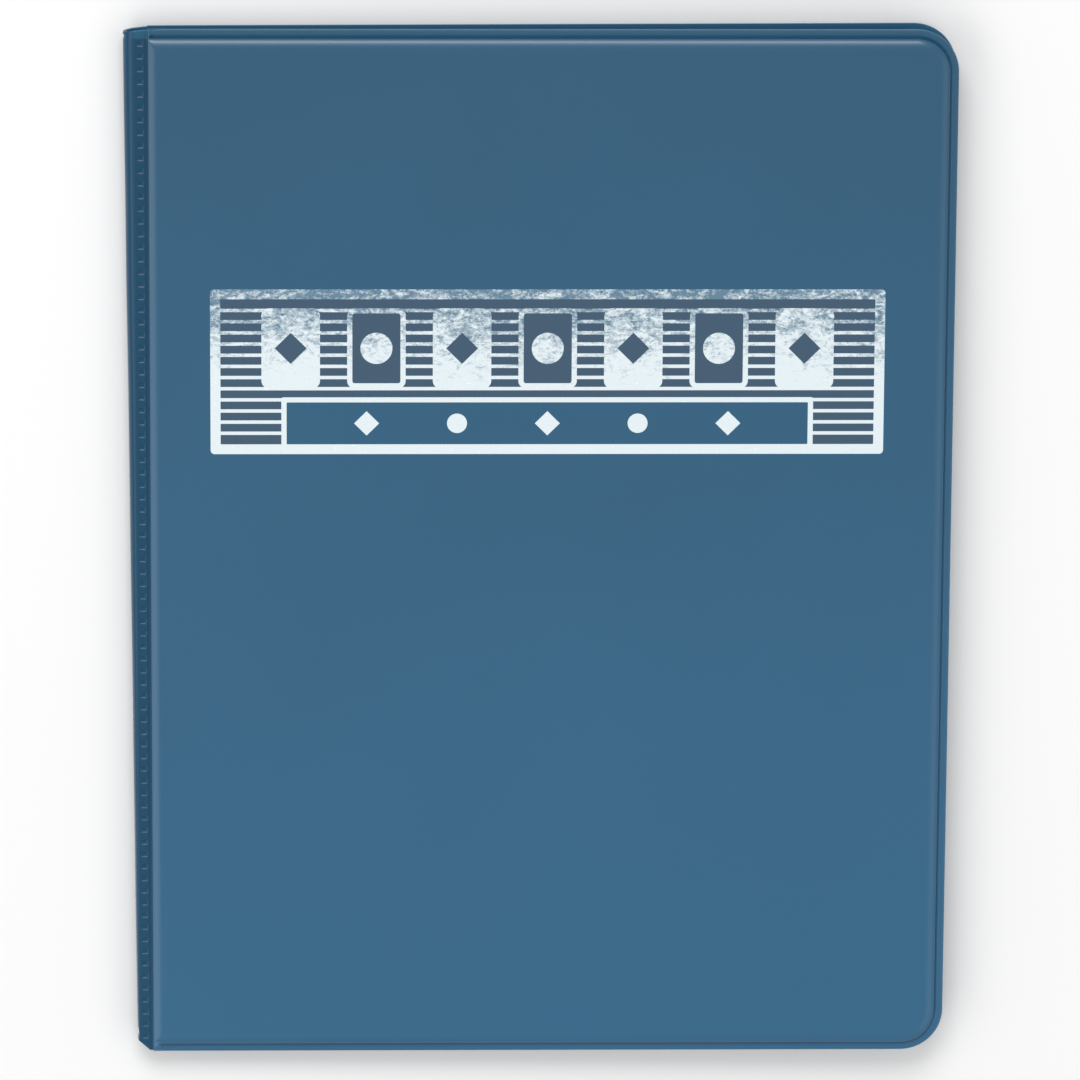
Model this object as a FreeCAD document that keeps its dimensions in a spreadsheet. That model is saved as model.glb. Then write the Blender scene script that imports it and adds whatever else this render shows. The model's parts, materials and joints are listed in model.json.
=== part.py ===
"""Nine-pocket trading card album with welded-in pages, lying shut on its back cover.

+X points from the spine to the fore-edge, +Y to the head of the album and +Z up.
The origin is the centre of the album's footprint, on the surface that it lies on.
"""
import FreeCAD, Part
import math
import os
import Sketcher

# Driving sizes in millimetres; angles in degrees. Each is set once, here.
SIZES = {
    "pocket_width": 70.0,       # clear width of one card pocket
    "pocket_height": 92.0,      # clear height of one card pocket
    "columns": 3,               # pockets across a page
    "rows": 3,                  # pockets down a page
    "weld_line": 2.0,           # width of the welds around and between pockets
    "page_count": 10,           # pages in the album
    "sheet_gauge": 0.15,        # film at the back of a page
    "film_gauge": 0.12,         # film at the front of its pockets
    "page_play": 0.15,          # air between one page and the next at the spine
    "page_clearance": 0.10,     # air between the outer pages and the covers at the spine
    "page_corner": 4.0,         # corner radius of a page
    "binding_margin": 8.45,     # fold line to the first pocket weld
    "fore_margin": 5.5,         # pages stop this far inside the covers' fore-edge
    "head_margin": 10.4,        # and this far inside the head and the tail
    "tab_reach": 2.5,           # fixed end of a page, from the fold line outwards
    "tab_gap": 0.10,            # from that fixed end to the part that turns
    "skin_gauge": 0.50,         # outer vinyl
    "liner_gauge": 0.35,        # inner vinyl
    "board_gauge": 2.15,        # greyboard stiffener
    "corner_radius": 12.4,      # fore-edge corners of the covers
    "rim_width": 1.8,           # flat welded rim outside the groove
    "groove_width": 0.9,        # groove between the rim and the padded panel
    "groove_depth": 0.20,       # how far the groove is pressed into the rim's vinyl
    "edge_round": 2.2,          # rounding of the panel's edges
    "hinge_gap": 1.0,           # strip of bare vinyl that folds
    "back_fold_depth": 2.3,     # back cover's inner face to the axis that the spine folds on
    "turn_clearance": 0.85,     # air over the spine with the front cover laid right back
    "cover_tilt": 1.14,         # slope of the front cover with the album shut
    "weld_width": 3.0,          # ladder weld along the spine
    "cell_width": 2.2,          # one pressed cell of the ladder, across the spine
    "cell_length": 1.9,         # and along it
    "cell_pitch": 3.7,          # from one cell to the next
    "cell_depth": 0.25,         # how far the cells are pressed in
    "cell_margin": 3.0,         # plain weld left at the head and the tail
    "stamp_gauge": 0.05,        # foil on the front cover
    "stamp_side": 17.5,         # panel edge to foil frame, on each side
    "stamp_head": 72.7,         # panel's head edge to the foil frame
    "stamp_height": 48.6,       # foil frame, head to tail
    "stamp_corner": 1.2,        # foil frame's outer corner radius
    "stamp_border": 2.9,        # width of the foil frame
    "stamp_line": 1.5,          # outlines of the open card shapes and of the title plate
    "rule_count": 12,           # level lines across the frame
    "rule_width": 1.0,          # width of those lines
    "title_width": 150.0,       # clear title plate at the foot of the frame
    "title_height": 12.4,       # and its height
    "card_count": 7,            # card shapes over the lines
    "card_pitch": 24.6,         # from one card shape to the next
    "card_width": 16.8,         # a card shape
    "card_height": 23.6,        # and its height
    "card_corner": 2.2,         # corner radius of a card shape
    "pip_radius": 4.6,          # reach of the pip in the middle of a card shape
    "stud_count": 5,            # small pips in the title plate
    "stud_pitch": 26.0,         # from one small pip to the next
    "stud_radius": 3.6,         # reach of a small pip
}

# Sizes that follow from the driving ones.
FITS = {
    "page_gauge": "Sizes.sheet_gauge + Sizes.film_gauge",
    "page_pitch": "page_gauge + Sizes.page_play",
    "bundle_depth": "Sizes.page_count * page_pitch",
    "pockets_width": "Sizes.columns * Sizes.pocket_width + (Sizes.columns + 1) * Sizes.weld_line",
    "page_height": "Sizes.rows * Sizes.pocket_height + (Sizes.rows + 1) * Sizes.weld_line",
    "row_pitch": "Sizes.pocket_height + Sizes.weld_line",
    "page_start": "Sizes.tab_reach + Sizes.tab_gap",
    "page_end": "Sizes.binding_margin + pockets_width",
    "cover_start": "Sizes.hinge_gap / 2",
    "cover_end": "page_end + Sizes.fore_margin",
    "cover_height": "page_height + 2 * Sizes.head_margin",
    "cover_depth": "Sizes.liner_gauge + Sizes.board_gauge + Sizes.skin_gauge",
    "gutter_gap": "bundle_depth + 2 * Sizes.page_clearance",
    "panel_inset": "Sizes.rim_width + Sizes.groove_width",
    "board_inset": "panel_inset + Sizes.skin_gauge",
    "board_round": "Sizes.edge_round - Sizes.skin_gauge",
    "panel_gauge": "Sizes.board_gauge + Sizes.skin_gauge",
    "spine_radius": "bundle_depth / 2 + Sizes.liner_gauge + Sizes.skin_gauge",
    "liner_radius": "spine_radius - Sizes.skin_gauge",
    "album_width": "spine_radius + Sizes.weld_width + cover_start + cover_end",
    "fold_x": "album_width / 2 - cover_end",
    "band_x": "fold_x - cover_start - Sizes.weld_width",
    "binding_z": "cover_depth + gutter_gap / 2",
    "spine_top": "binding_z + spine_radius",
    "front_inner": "cover_depth + gutter_gap",
    "fold_z": "(front_inner + cover_depth + spine_top + Sizes.turn_clearance) / 2",
    "back_fold_z": "cover_depth - Sizes.back_fold_depth",
    "front_drop": "fold_z - front_inner",
    "cell_run": "cover_height - 2 * Sizes.cell_margin - Sizes.cell_length",
    "cell_count": "floor(cell_run / Sizes.cell_pitch) + 1",
    "cell_span": "(cell_count - 1) * Sizes.cell_pitch",
    "tab_length": "Sizes.weld_width + cover_start + Sizes.tab_reach",
}


def add_sheet(doc, name, cells):
    """Fill a spreadsheet with named cells, one to a row."""
    sheet = doc.addObject("Spreadsheet::Sheet", name)
    for row, (alias, content) in enumerate(cells.items(), start=1):
        sheet.set(f"A{row}", alias)
        sheet.set(f"B{row}", content)
        sheet.setAlias(f"B{row}", alias)
    doc.recompute()
    return sheet


def bind(item, **links):
    """Tie properties to the sheets; a double underscore stands for a dot in a property path."""
    for path, expression in links.items():
        item.setExpression(path.replace("__", "."), expression)


def own_plane(body, role):
    """One of the body's own origin planes or axes."""
    return next(item for item in body.Origin.OriginFeatures if item.Role == role)


def add_body(doc, label):
    body = doc.addObject("PartDesign::Body", label)
    body.Label = label
    return body


def add_sketch(body, name, role="XY_Plane", height=None):
    """A sketch on one of the body's own planes, raised by an expression."""
    sketch = body.newObject("Sketcher::SketchObject", name)
    sketch.AttachmentSupport = (own_plane(body, role), [""])
    sketch.MapMode = "FlatFace"
    if height:
        bind(sketch, AttachmentOffset__Base__z=height)
    return sketch


def bind_size(sketch, constraint, name, expression):
    """Add a named dimension to a sketch and tie it to the sheets."""
    index = sketch.addConstraint(constraint)
    sketch.renameConstraint(index, name)
    sketch.setExpression(f"Constraints.{name}", expression)


def draw_outline(sketch, left, right, half_height, corner):
    """Outline of a cover or page: square at the fold, round at the fore-edge corners."""
    x_low, x_high, y_high, radius = 0.5, 200.0, 140.0, 4.0
    point = FreeCAD.Vector
    low, head = point(x_low, 0, 0), point(0, y_high, 0)
    centre = point(x_high - radius, y_high - radius, 0)
    low_centre = point(x_high - radius, radius - y_high, 0)
    axis = point(0, 0, 1)
    quarter = math.pi / 2
    sketch.addGeometry([
        Part.LineSegment(low + head, point(x_high - radius, y_high, 0)),
        Part.ArcOfCircle(Part.Circle(centre, axis, radius), 0, quarter),
        Part.LineSegment(point(x_high, y_high - radius, 0), point(x_high, radius - y_high, 0)),
        Part.ArcOfCircle(Part.Circle(low_centre, axis, radius), -quarter, 0),
        Part.LineSegment(point(x_high - radius, -y_high, 0), low - head),
        Part.LineSegment(low - head, low + head),
    ], False)
    rule = Sketcher.Constraint
    sketch.addConstraint([
        rule("Tangent", 0, 2, 1, 2), rule("Tangent", 1, 1, 2, 1),
        rule("Tangent", 2, 2, 3, 2), rule("Tangent", 3, 1, 4, 1),
        rule("Coincident", 4, 2, 5, 1), rule("Coincident", 5, 2, 0, 1),
        rule("Horizontal", 0), rule("Vertical", 2), rule("Horizontal", 4),
        rule("Equal", 1, 3), rule("Symmetric", 5, 1, 5, 2, -1),
    ])
    bind_size(sketch, rule("DistanceX", -1, 1, 5, 1, x_low), "left", left)
    bind_size(sketch, rule("DistanceX", -1, 1, 2, 1, x_high), "right", right)
    bind_size(sketch, rule("DistanceY", -1, 1, 5, 2, y_high), "half_height", half_height)
    bind_size(sketch, rule("Radius", 1, radius), "corner", corner)


def draw_box(sketch, left, bottom, width, height):
    """A rectangle from its lower left corner, for a sketch that holds nothing else."""
    corners = [FreeCAD.Vector(x, y, 0) for x, y in ((1, 1), (3, 1), (3, 2), (1, 2))]
    for index in range(4):
        sketch.addGeometry(Part.LineSegment(corners[index], corners[(index + 1) % 4]), False)
    rule = Sketcher.Constraint
    sketch.addConstraint([
        rule("Coincident", 0, 2, 1, 1), rule("Coincident", 1, 2, 2, 1),
        rule("Coincident", 2, 2, 3, 1), rule("Coincident", 3, 2, 0, 1),
        rule("Horizontal", 0), rule("Vertical", 1), rule("Horizontal", 2), rule("Vertical", 3),
    ])
    bind_size(sketch, rule("DistanceX", -1, 1, 0, 1, 1), "left", left)
    bind_size(sketch, rule("DistanceY", -1, 1, 0, 1, 1), "bottom", bottom)
    bind_size(sketch, rule("DistanceX", 0, 1, 0, 2, 2), "width", width)
    bind_size(sketch, rule("DistanceY", 1, 1, 1, 2, 1), "height", height)


def add_pad(body, sketch, length, name="Pad"):
    pad = body.newObject("PartDesign::Pad", name)
    pad.Profile = sketch
    bind(pad, Length=length)
    return pad


def round_outer_edges(doc, body, base, height, radius):
    """Round the edges of a panel that lie at its outer face."""
    doc.recompute()
    names = []
    for index, edge in enumerate(base.Shape.Edges, start=1):
        box = edge.BoundBox
        if box.ZMin > height - 1e-4 and box.ZMax < height + 1e-4:
            names.append(f"Edge{index}")
    fillet = body.newObject("PartDesign::Fillet", "OuterRound")
    fillet.Base = (base, names)
    bind(fillet, Radius=radius)
    return fillet


def place_on_fold(item, drop, tilt):
    """Hang a piece drop below the fold axis, then lift its fore-edge by tilt degrees."""
    item.Placement = FreeCAD.Placement(FreeCAD.Vector(), FreeCAD.Rotation(FreeCAD.Vector(0, -1, 0), 1))
    bind(item, **{
        ".Placement__Rotation__Angle": tilt,
        ".Placement__Base__x": f"Fits.fold_x + ({drop}) * sin(({tilt}) * 1deg)",
        ".Placement__Base__z": f"Fits.fold_z - ({drop}) * cos(({tilt}) * 1deg)",
    })


def place_front(item):
    place_on_fold(item, "Fits.front_drop", "Sizes.cover_tilt")


def place_back(item):
    """Turn a cover piece over, so that its outer face lies on the ground."""
    item.Placement = FreeCAD.Placement(FreeCAD.Vector(), FreeCAD.Rotation(FreeCAD.Vector(1, 0, 0), 180))
    bind(item, **{".Placement__Base__x": "Fits.fold_x", ".Placement__Base__z": "Fits.cover_depth"})


def cover_outline(body, name, inset, fold_inset, height=None):
    """A cover's outline drawn in by an inset, with its own inset at the fold."""
    sketch = add_sketch(body, name, height=height)
    draw_outline(
        sketch,
        left=f"Fits.cover_start + {fold_inset}",
        right=f"Fits.cover_end - {inset}",
        half_height=f"Fits.cover_height / 2 - {inset}",
        corner=f"Sizes.corner_radius - {inset}",
    )
    return sketch


def make_board(doc, side, place):
    """Greyboard stiffener, rounded under the vinyl."""
    body = add_body(doc, f"{side}_board")
    sketch = cover_outline(body, "Outline", "Fits.board_inset", "Sizes.skin_gauge", "Sizes.liner_gauge")
    pad = add_pad(body, sketch, "Sizes.board_gauge")
    top = SIZES["liner_gauge"] + SIZES["board_gauge"]
    round_outer_edges(doc, body, pad, top, "Fits.board_round")
    place(body)
    return body


def make_liner(doc, side, place):
    """Inner vinyl, flat from the fold to the welded rim."""
    body = add_body(doc, f"{side}_liner")
    add_pad(body, cover_outline(body, "Outline", "0", "0"), "Sizes.liner_gauge")
    place(body)
    return body


def make_skin(doc, side, board, place):
    """Outer vinyl: the welded rim, the pressed groove and the panel drawn over the board."""
    body = add_body(doc, f"{side}_skin_form")
    rim = cover_outline(body, "RimOutline", "0", "0", "Sizes.liner_gauge")
    add_pad(body, rim, "Sizes.skin_gauge", "Rim")
    rim_top = "Sizes.liner_gauge + Sizes.skin_gauge"
    groove = cover_outline(body, "GrooveOutline", "Sizes.rim_width", "0", rim_top)
    pocket = body.newObject("PartDesign::Pocket", "Groove")
    pocket.Profile = groove
    bind(pocket, Length="Sizes.groove_depth")
    panel = cover_outline(body, "PanelOutline", "Fits.panel_inset", "0", "Sizes.liner_gauge")
    pad = add_pad(body, panel, "Fits.panel_gauge", "Panel")
    top = SIZES["liner_gauge"] + SIZES["board_gauge"] + SIZES["skin_gauge"]
    round_outer_edges(doc, body, pad, top, "Sizes.edge_round")
    place(body)
    skin = doc.addObject("Part::Cut", f"{side}_skin")
    skin.Label = f"{side}_skin"
    skin.Base = body
    skin.Tool = board
    return skin


def make_cover(doc, side, place):
    board = make_board(doc, side, place)
    return [make_skin(doc, side, board, place), board, make_liner(doc, side, place)]


def draw_wrap(sketch, radius, gauge):
    """Section of a sheet that wraps the spine: a half-round with two flat flanges."""
    outer, inner, reach = 2.4, 1.9, 3.6
    point = FreeCAD.Vector
    axis = point(0, 0, 1)
    quarter = math.pi / 2
    sketch.addGeometry([
        Part.ArcOfCircle(Part.Circle(point(), axis, outer), quarter, 3 * quarter),
        Part.LineSegment(point(0, -outer, 0), point(reach, -outer, 0)),
        Part.LineSegment(point(reach, -outer, 0), point(reach, -inner, 0)),
        Part.LineSegment(point(reach, -inner, 0), point(0, -inner, 0)),
        Part.ArcOfCircle(Part.Circle(point(), axis, inner), quarter, 3 * quarter),
        Part.LineSegment(point(0, inner, 0), point(reach, inner, 0)),
        Part.LineSegment(point(reach, inner, 0), point(reach, outer, 0)),
        Part.LineSegment(point(reach, outer, 0), point(0, outer, 0)),
    ], False)
    rule = Sketcher.Constraint
    sketch.addConstraint([
        rule("Coincident", 0, 3, -1, 1), rule("Coincident", 4, 3, -1, 1),
        rule("PointOnObject", 0, 1, -2), rule("PointOnObject", 0, 2, -2),
        rule("PointOnObject", 4, 1, -2), rule("PointOnObject", 4, 2, -2),
        rule("Coincident", 0, 2, 1, 1), rule("Coincident", 1, 2, 2, 1),
        rule("Coincident", 2, 2, 3, 1), rule("Coincident", 3, 2, 4, 2),
        rule("Coincident", 4, 1, 5, 1), rule("Coincident", 5, 2, 6, 1),
        rule("Coincident", 6, 2, 7, 1), rule("Coincident", 7, 2, 0, 1),
        rule("Horizontal", 1), rule("Vertical", 2), rule("Horizontal", 3),
        rule("Horizontal", 5), rule("Vertical", 6), rule("Horizontal", 7),
    ])
    bind_size(sketch, rule("Radius", 0, outer), "outer", radius)
    bind_size(sketch, rule("Radius", 4, inner), "inner", f"{radius} - {gauge}")
    bind_size(sketch, rule("DistanceX", -1, 1, 1, 2, reach), "lower_reach", "Sizes.weld_width")
    bind_size(sketch, rule("DistanceX", -1, 1, 6, 2, reach), "upper_reach", "Sizes.weld_width")


def make_wrap(doc, label, radius, gauge):
    """One of the two vinyl sheets around the spine."""
    body = add_body(doc, label)
    sketch = add_sketch(body, "Section", "XZ_Plane")
    draw_wrap(sketch, radius, gauge)
    pad = add_pad(body, sketch, "Fits.cover_height")
    pad.Midplane = True
    bind(body, **{".Placement__Base__x": "Fits.band_x", ".Placement__Base__z": "Fits.binding_z"})
    return body


def press_ladder(doc, body, name, height, upwards):
    """A row of pressed cells along one flange of the spine."""
    sketch = add_sketch(body, f"{name}Cell", height=height)
    edge = "(Sizes.weld_width - Sizes.cell_width) / 2"
    draw_box(sketch, edge, "-Fits.cell_span / 2 - Sizes.cell_length / 2", "Sizes.cell_width",
             "Sizes.cell_length")
    volume = body.Shape.Volume
    pocket = body.newObject("PartDesign::Pocket", f"{name}Pocket")
    pocket.Profile = sketch
    pocket.Reversed = upwards
    bind(pocket, Length="Sizes.cell_depth")
    doc.recompute()
    pattern = body.newObject("PartDesign::LinearPattern", f"{name}Ladder")
    pattern.Originals = [pocket]
    pattern.Direction = (own_plane(body, "Y_Axis"), [""])
    bind(pattern, Length="Fits.cell_span", Occurrences="Fits.cell_count")
    body.Tip = pattern
    doc.recompute()
    return volume - body.Shape.Volume


def make_spine(doc, fits):
    """Outer wrap with its two ladder welds, and the liner inside it."""
    skin = make_wrap(doc, "spine_skin", "Fits.spine_radius", "Sizes.skin_gauge")
    doc.recompute()
    cell = SIZES["cell_width"] * SIZES["cell_length"] * SIZES["cell_depth"]
    for name, height, upwards in (("Front", "Fits.spine_radius", False), ("Back", "-Fits.spine_radius", True)):
        pressed = press_ladder(doc, skin, name, height, upwards)
        if abs(pressed - fits.cell_count * cell) > 0.01 * pressed:
            raise RuntimeError(f"{name} ladder weld removed {pressed:.2f} mm3")
    return [skin, make_wrap(doc, "spine_liner", "Fits.liner_radius", "Sizes.liner_gauge")]


def add_block(doc, name, corner, size):
    """A box tied to the sheets by its lowest corner and its size."""
    block = doc.addObject("Part::Box", name)
    bind(block, Length=size[0], Width=size[1], Height=size[2])
    bind(block, **{f".Placement__Base__{axis}": value for axis, value in zip("xyz", corner)})
    return block


def make_tabs(doc):
    """Bound ends of all pages: one fused weld block with a short leaf for each page."""
    start, tail = "Fits.band_x", "-Fits.page_height / 2"
    blocks = [add_block(doc, "TabWeld", (start, tail, "Fits.binding_z - Fits.bundle_depth / 2"),
                        ("Sizes.weld_width", "Fits.page_height", "Fits.bundle_depth"))]
    for page in range(1, SIZES["page_count"] + 1):
        blocks.append(add_block(doc, f"TabLeaf{page:02d}", (start, tail, page_level(page)),
                                ("Fits.tab_length", "Fits.page_height", "Fits.page_gauge")))
    tabs = doc.addObject("Part::MultiFuse", "page_tabs")
    tabs.Label = "page_tabs"
    tabs.Shapes = blocks
    return [tabs]


def page_level(page):
    """Underside of a page at the spine; page 1 is the top one."""
    return (f"(Fits.cover_depth + Sizes.page_clearance + Sizes.page_play / 2"
            f" + (Sizes.page_count - {page}) * Fits.page_pitch)")


def place_page(item, page):
    """Pages share out the front cover's slope evenly between the two covers."""
    share = f"(Sizes.page_count + 1 - {page}) / (Sizes.page_count + 1)"
    place_on_fold(item, f"Fits.fold_z - {page_level(page)}", f"Sizes.cover_tilt * {share}")


def make_page(doc, page):
    """One page: a backing sheet and, lying on it, a strip of pocket film for each row."""
    sheet = add_body(doc, f"page_{page:02d}_sheet")
    outline = add_sketch(sheet, "Outline")
    draw_outline(outline, "Fits.page_start", "Fits.page_end", "Fits.page_height / 2", "Sizes.page_corner")
    add_pad(sheet, outline, "Sizes.sheet_gauge")
    pockets = add_body(doc, f"page_{page:02d}_pockets")
    strip = add_sketch(pockets, "Strip", height="Sizes.sheet_gauge")
    draw_box(strip, "Sizes.binding_margin", "Sizes.weld_line - Fits.page_height / 2",
             "Fits.pockets_width", "Sizes.pocket_height")
    pad = add_pad(pockets, strip, "Sizes.film_gauge")
    doc.recompute()
    rows = pockets.newObject("PartDesign::LinearPattern", "Rows")
    rows.Originals = [pad]
    rows.Direction = (own_plane(pockets, "Y_Axis"), [""])
    bind(rows, Length="Fits.row_pitch * (Sizes.rows - 1)", Occurrences="Sizes.rows")
    pockets.Tip = rows
    for item in (sheet, pockets):
        place_page(item, page)
    return [sheet, pockets]


def plate(centre, width, height, corner, gauge):
    """A flat plate with rounded corners, around a centre."""
    low = centre - FreeCAD.Vector(width / 2, height / 2, 0)
    box = Part.makeBox(width, height, gauge, low)
    upright = [edge for edge in box.Edges if edge.BoundBox.ZLength > gauge / 2]
    return box.makeFillet(corner, upright)


def lozenge(centre, reach, gauge):
    """A square plate standing on its corner."""
    offsets = [(reach, 0), (0, reach), (-reach, 0), (0, -reach), (reach, 0)]
    wire = Part.makePolygon([centre + FreeCAD.Vector(x, y, 0) for x, y in offsets])
    return Part.Face(wire).extrude(FreeCAD.Vector(0, 0, gauge))


def disc(centre, radius, gauge):
    return Part.makeCylinder(radius, gauge, centre)


def ring(centre, width, height, line, corner, gauge):
    """An open plate: a line of even width around a clear opening."""
    outer = plate(centre, width + 2 * line, height + 2 * line, corner, gauge)
    return outer.cut(plate(centre, width, height, max(corner - line, 0.3), gauge))


def stamp_rules(sizes, centre, width, height):
    """Level lines across the frame, evenly spaced, each ending inside its border."""
    pitch = height / (sizes.rule_count + 1)
    length = width + sizes.stamp_border
    rules = []
    for index in range(sizes.rule_count):
        offset = height / 2 - (index + 1) * pitch - sizes.rule_width / 2
        low = centre + FreeCAD.Vector(-length / 2, offset, 0)
        rules.append(Part.makeBox(length, sizes.rule_width, sizes.stamp_gauge, low))
    return rules


def stamp_cards(sizes, foil, centre):
    """Card shapes over the lines, solid and open ones in turn, each with a pip."""
    gauge, line = sizes.stamp_gauge, sizes.stamp_line
    discs = []
    for index in range(sizes.card_count):
        offset = (index - (sizes.card_count - 1) / 2) * sizes.card_pitch
        middle = centre + FreeCAD.Vector(offset, 0, 0)
        card = plate(middle, sizes.card_width, sizes.card_height, sizes.card_corner, gauge)
        if index % 2 == 0:
            foil = foil.fuse(card).cut(lozenge(middle, sizes.pip_radius, gauge))
        else:
            width, height = sizes.card_width - 2 * line, sizes.card_height - 2 * line
            foil = foil.cut(card).fuse(ring(middle, width, height, line, sizes.card_corner, gauge))
            discs.append(disc(middle, sizes.pip_radius, gauge))
    return foil, discs


def stamp_studs(sizes, centre):
    """Small pips along the title plate, round and square ones in turn."""
    studs = []
    for index in range(sizes.stud_count):
        offset = (index - (sizes.stud_count - 1) / 2) * sizes.stud_pitch
        middle = centre + FreeCAD.Vector(offset, 0, 0)
        shape = lozenge if index % 2 == 0 else disc
        radius = sizes.stud_radius if index % 2 == 0 else 0.8 * sizes.stud_radius
        studs.append(shape(middle, radius, sizes.stamp_gauge))
    return studs


def make_stamp(doc, sizes, fits):
    """Foil decoration on the front cover: lines, card shapes and a plain title plate, no lettering."""
    panel_end = fits.cover_end - fits.panel_inset
    border, gauge = sizes.stamp_border, sizes.stamp_gauge
    width = panel_end - fits.cover_start - 2 * (sizes.stamp_side + border)
    height = sizes.stamp_height - 2 * border
    top = fits.cover_height / 2 - fits.panel_inset - sizes.stamp_head
    centre = FreeCAD.Vector((fits.cover_start + panel_end) / 2, top - sizes.stamp_height / 2, fits.cover_depth)
    title = centre + FreeCAD.Vector(0, (sizes.title_height - height) / 2, 0)
    cards = centre + FreeCAD.Vector(0, (sizes.title_height + sizes.stamp_line) / 2, 0)
    foil = ring(centre, width, height, border, sizes.stamp_corner, gauge)
    foil = foil.fuse(stamp_rules(sizes, centre, width, height))
    foil = foil.cut(plate(title, sizes.title_width, sizes.title_height, 0.3, gauge))
    foil = foil.fuse(ring(title, sizes.title_width, sizes.title_height, sizes.stamp_line, 0.6, gauge))
    foil, discs = stamp_cards(sizes, foil, cards)
    pieces = foil.removeSplitter().Solids + discs + stamp_studs(sizes, title)
    stamp = doc.addObject("Part::Feature", "foil_stamp")
    stamp.Label = "foil_stamp"
    stamp.Shape = Part.makeCompound(pieces)
    place_front(stamp)
    return [stamp]


def check_document(doc, parts):
    """Stop if any object failed or any sub-part has no valid solid."""
    for item in doc.Objects:
        if {"Invalid", "Error"} & set(item.State):
            raise RuntimeError(f"{item.Label} is {item.State}")
    for part in parts:
        if part.Shape.isNull() or not part.Shape.isValid() or not part.Shape.Solids:
            raise RuntimeError(f"{part.Label} has no valid solid")


def main():
    doc = FreeCAD.newDocument("CardAlbum")
    sizes = add_sheet(doc, "Sizes", {name: str(value) for name, value in SIZES.items()})
    fits = add_sheet(doc, "Fits", {name: f"={formula}" for name, formula in FITS.items()})
    parts = make_cover(doc, "back", place_back)
    parts += make_spine(doc, fits)
    parts += make_tabs(doc)
    for page in range(1, SIZES["page_count"] + 1):
        parts += make_page(doc, page)
    parts += make_cover(doc, "front", place_front)
    parts += make_stamp(doc, sizes, fits)
    doc.recompute()
    check_document(doc, parts)
    os.makedirs("parts", exist_ok=True)
    for part in parts:
        part.Shape.exportStep(f"parts/{part.Label}.step")
        print(f"{part.Label}: {len(part.Shape.Solids)} solid(s), {part.Shape.Volume:.1f} mm3")
    for name in FITS:
        print(f"{name} = {float(getattr(fits, name)):.4f}")


main()
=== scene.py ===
"""Looks for a nine-pocket trading card album: padded vinyl covers, ladder-welded spine, film pages."""

import json
import logging
import math
from collections.abc import Callable, Iterable
from dataclasses import dataclass
from enum import Enum
from typing import Any

import bmesh
import bpy
from mathutils import Matrix, Vector, noise


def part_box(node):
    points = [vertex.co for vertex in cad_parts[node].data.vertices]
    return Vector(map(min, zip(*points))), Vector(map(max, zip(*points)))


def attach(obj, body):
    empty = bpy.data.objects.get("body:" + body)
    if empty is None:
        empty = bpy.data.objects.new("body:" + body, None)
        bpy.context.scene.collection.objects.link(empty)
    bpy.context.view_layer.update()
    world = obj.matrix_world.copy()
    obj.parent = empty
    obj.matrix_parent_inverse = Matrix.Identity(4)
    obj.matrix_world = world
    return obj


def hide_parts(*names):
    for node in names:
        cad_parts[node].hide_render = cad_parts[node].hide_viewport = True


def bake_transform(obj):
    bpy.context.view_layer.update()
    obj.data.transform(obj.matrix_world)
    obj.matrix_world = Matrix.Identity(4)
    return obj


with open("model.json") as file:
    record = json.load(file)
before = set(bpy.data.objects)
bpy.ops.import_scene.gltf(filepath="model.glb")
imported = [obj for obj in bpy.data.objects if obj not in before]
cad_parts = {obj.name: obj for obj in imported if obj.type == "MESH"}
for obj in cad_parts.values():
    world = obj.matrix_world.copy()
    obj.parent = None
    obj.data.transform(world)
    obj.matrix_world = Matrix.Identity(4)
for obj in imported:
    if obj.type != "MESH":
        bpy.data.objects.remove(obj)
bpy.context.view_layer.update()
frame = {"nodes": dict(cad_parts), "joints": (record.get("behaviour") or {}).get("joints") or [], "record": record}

MM = 0.001
LOG = logging.getLogger("album")
BMesh = bmesh.types.BMesh
BMFace = bmesh.types.BMFace
Colour = tuple[float, float, float]
Steps = tuple[tuple[float, float], ...]


def smooth_step(value: float) -> float:
    """Ease a value from 0 to 1, as the folds of the album turn."""
    value = min(1.0, max(0.0, value))
    return value * value * (3 - 2 * value)


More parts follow.
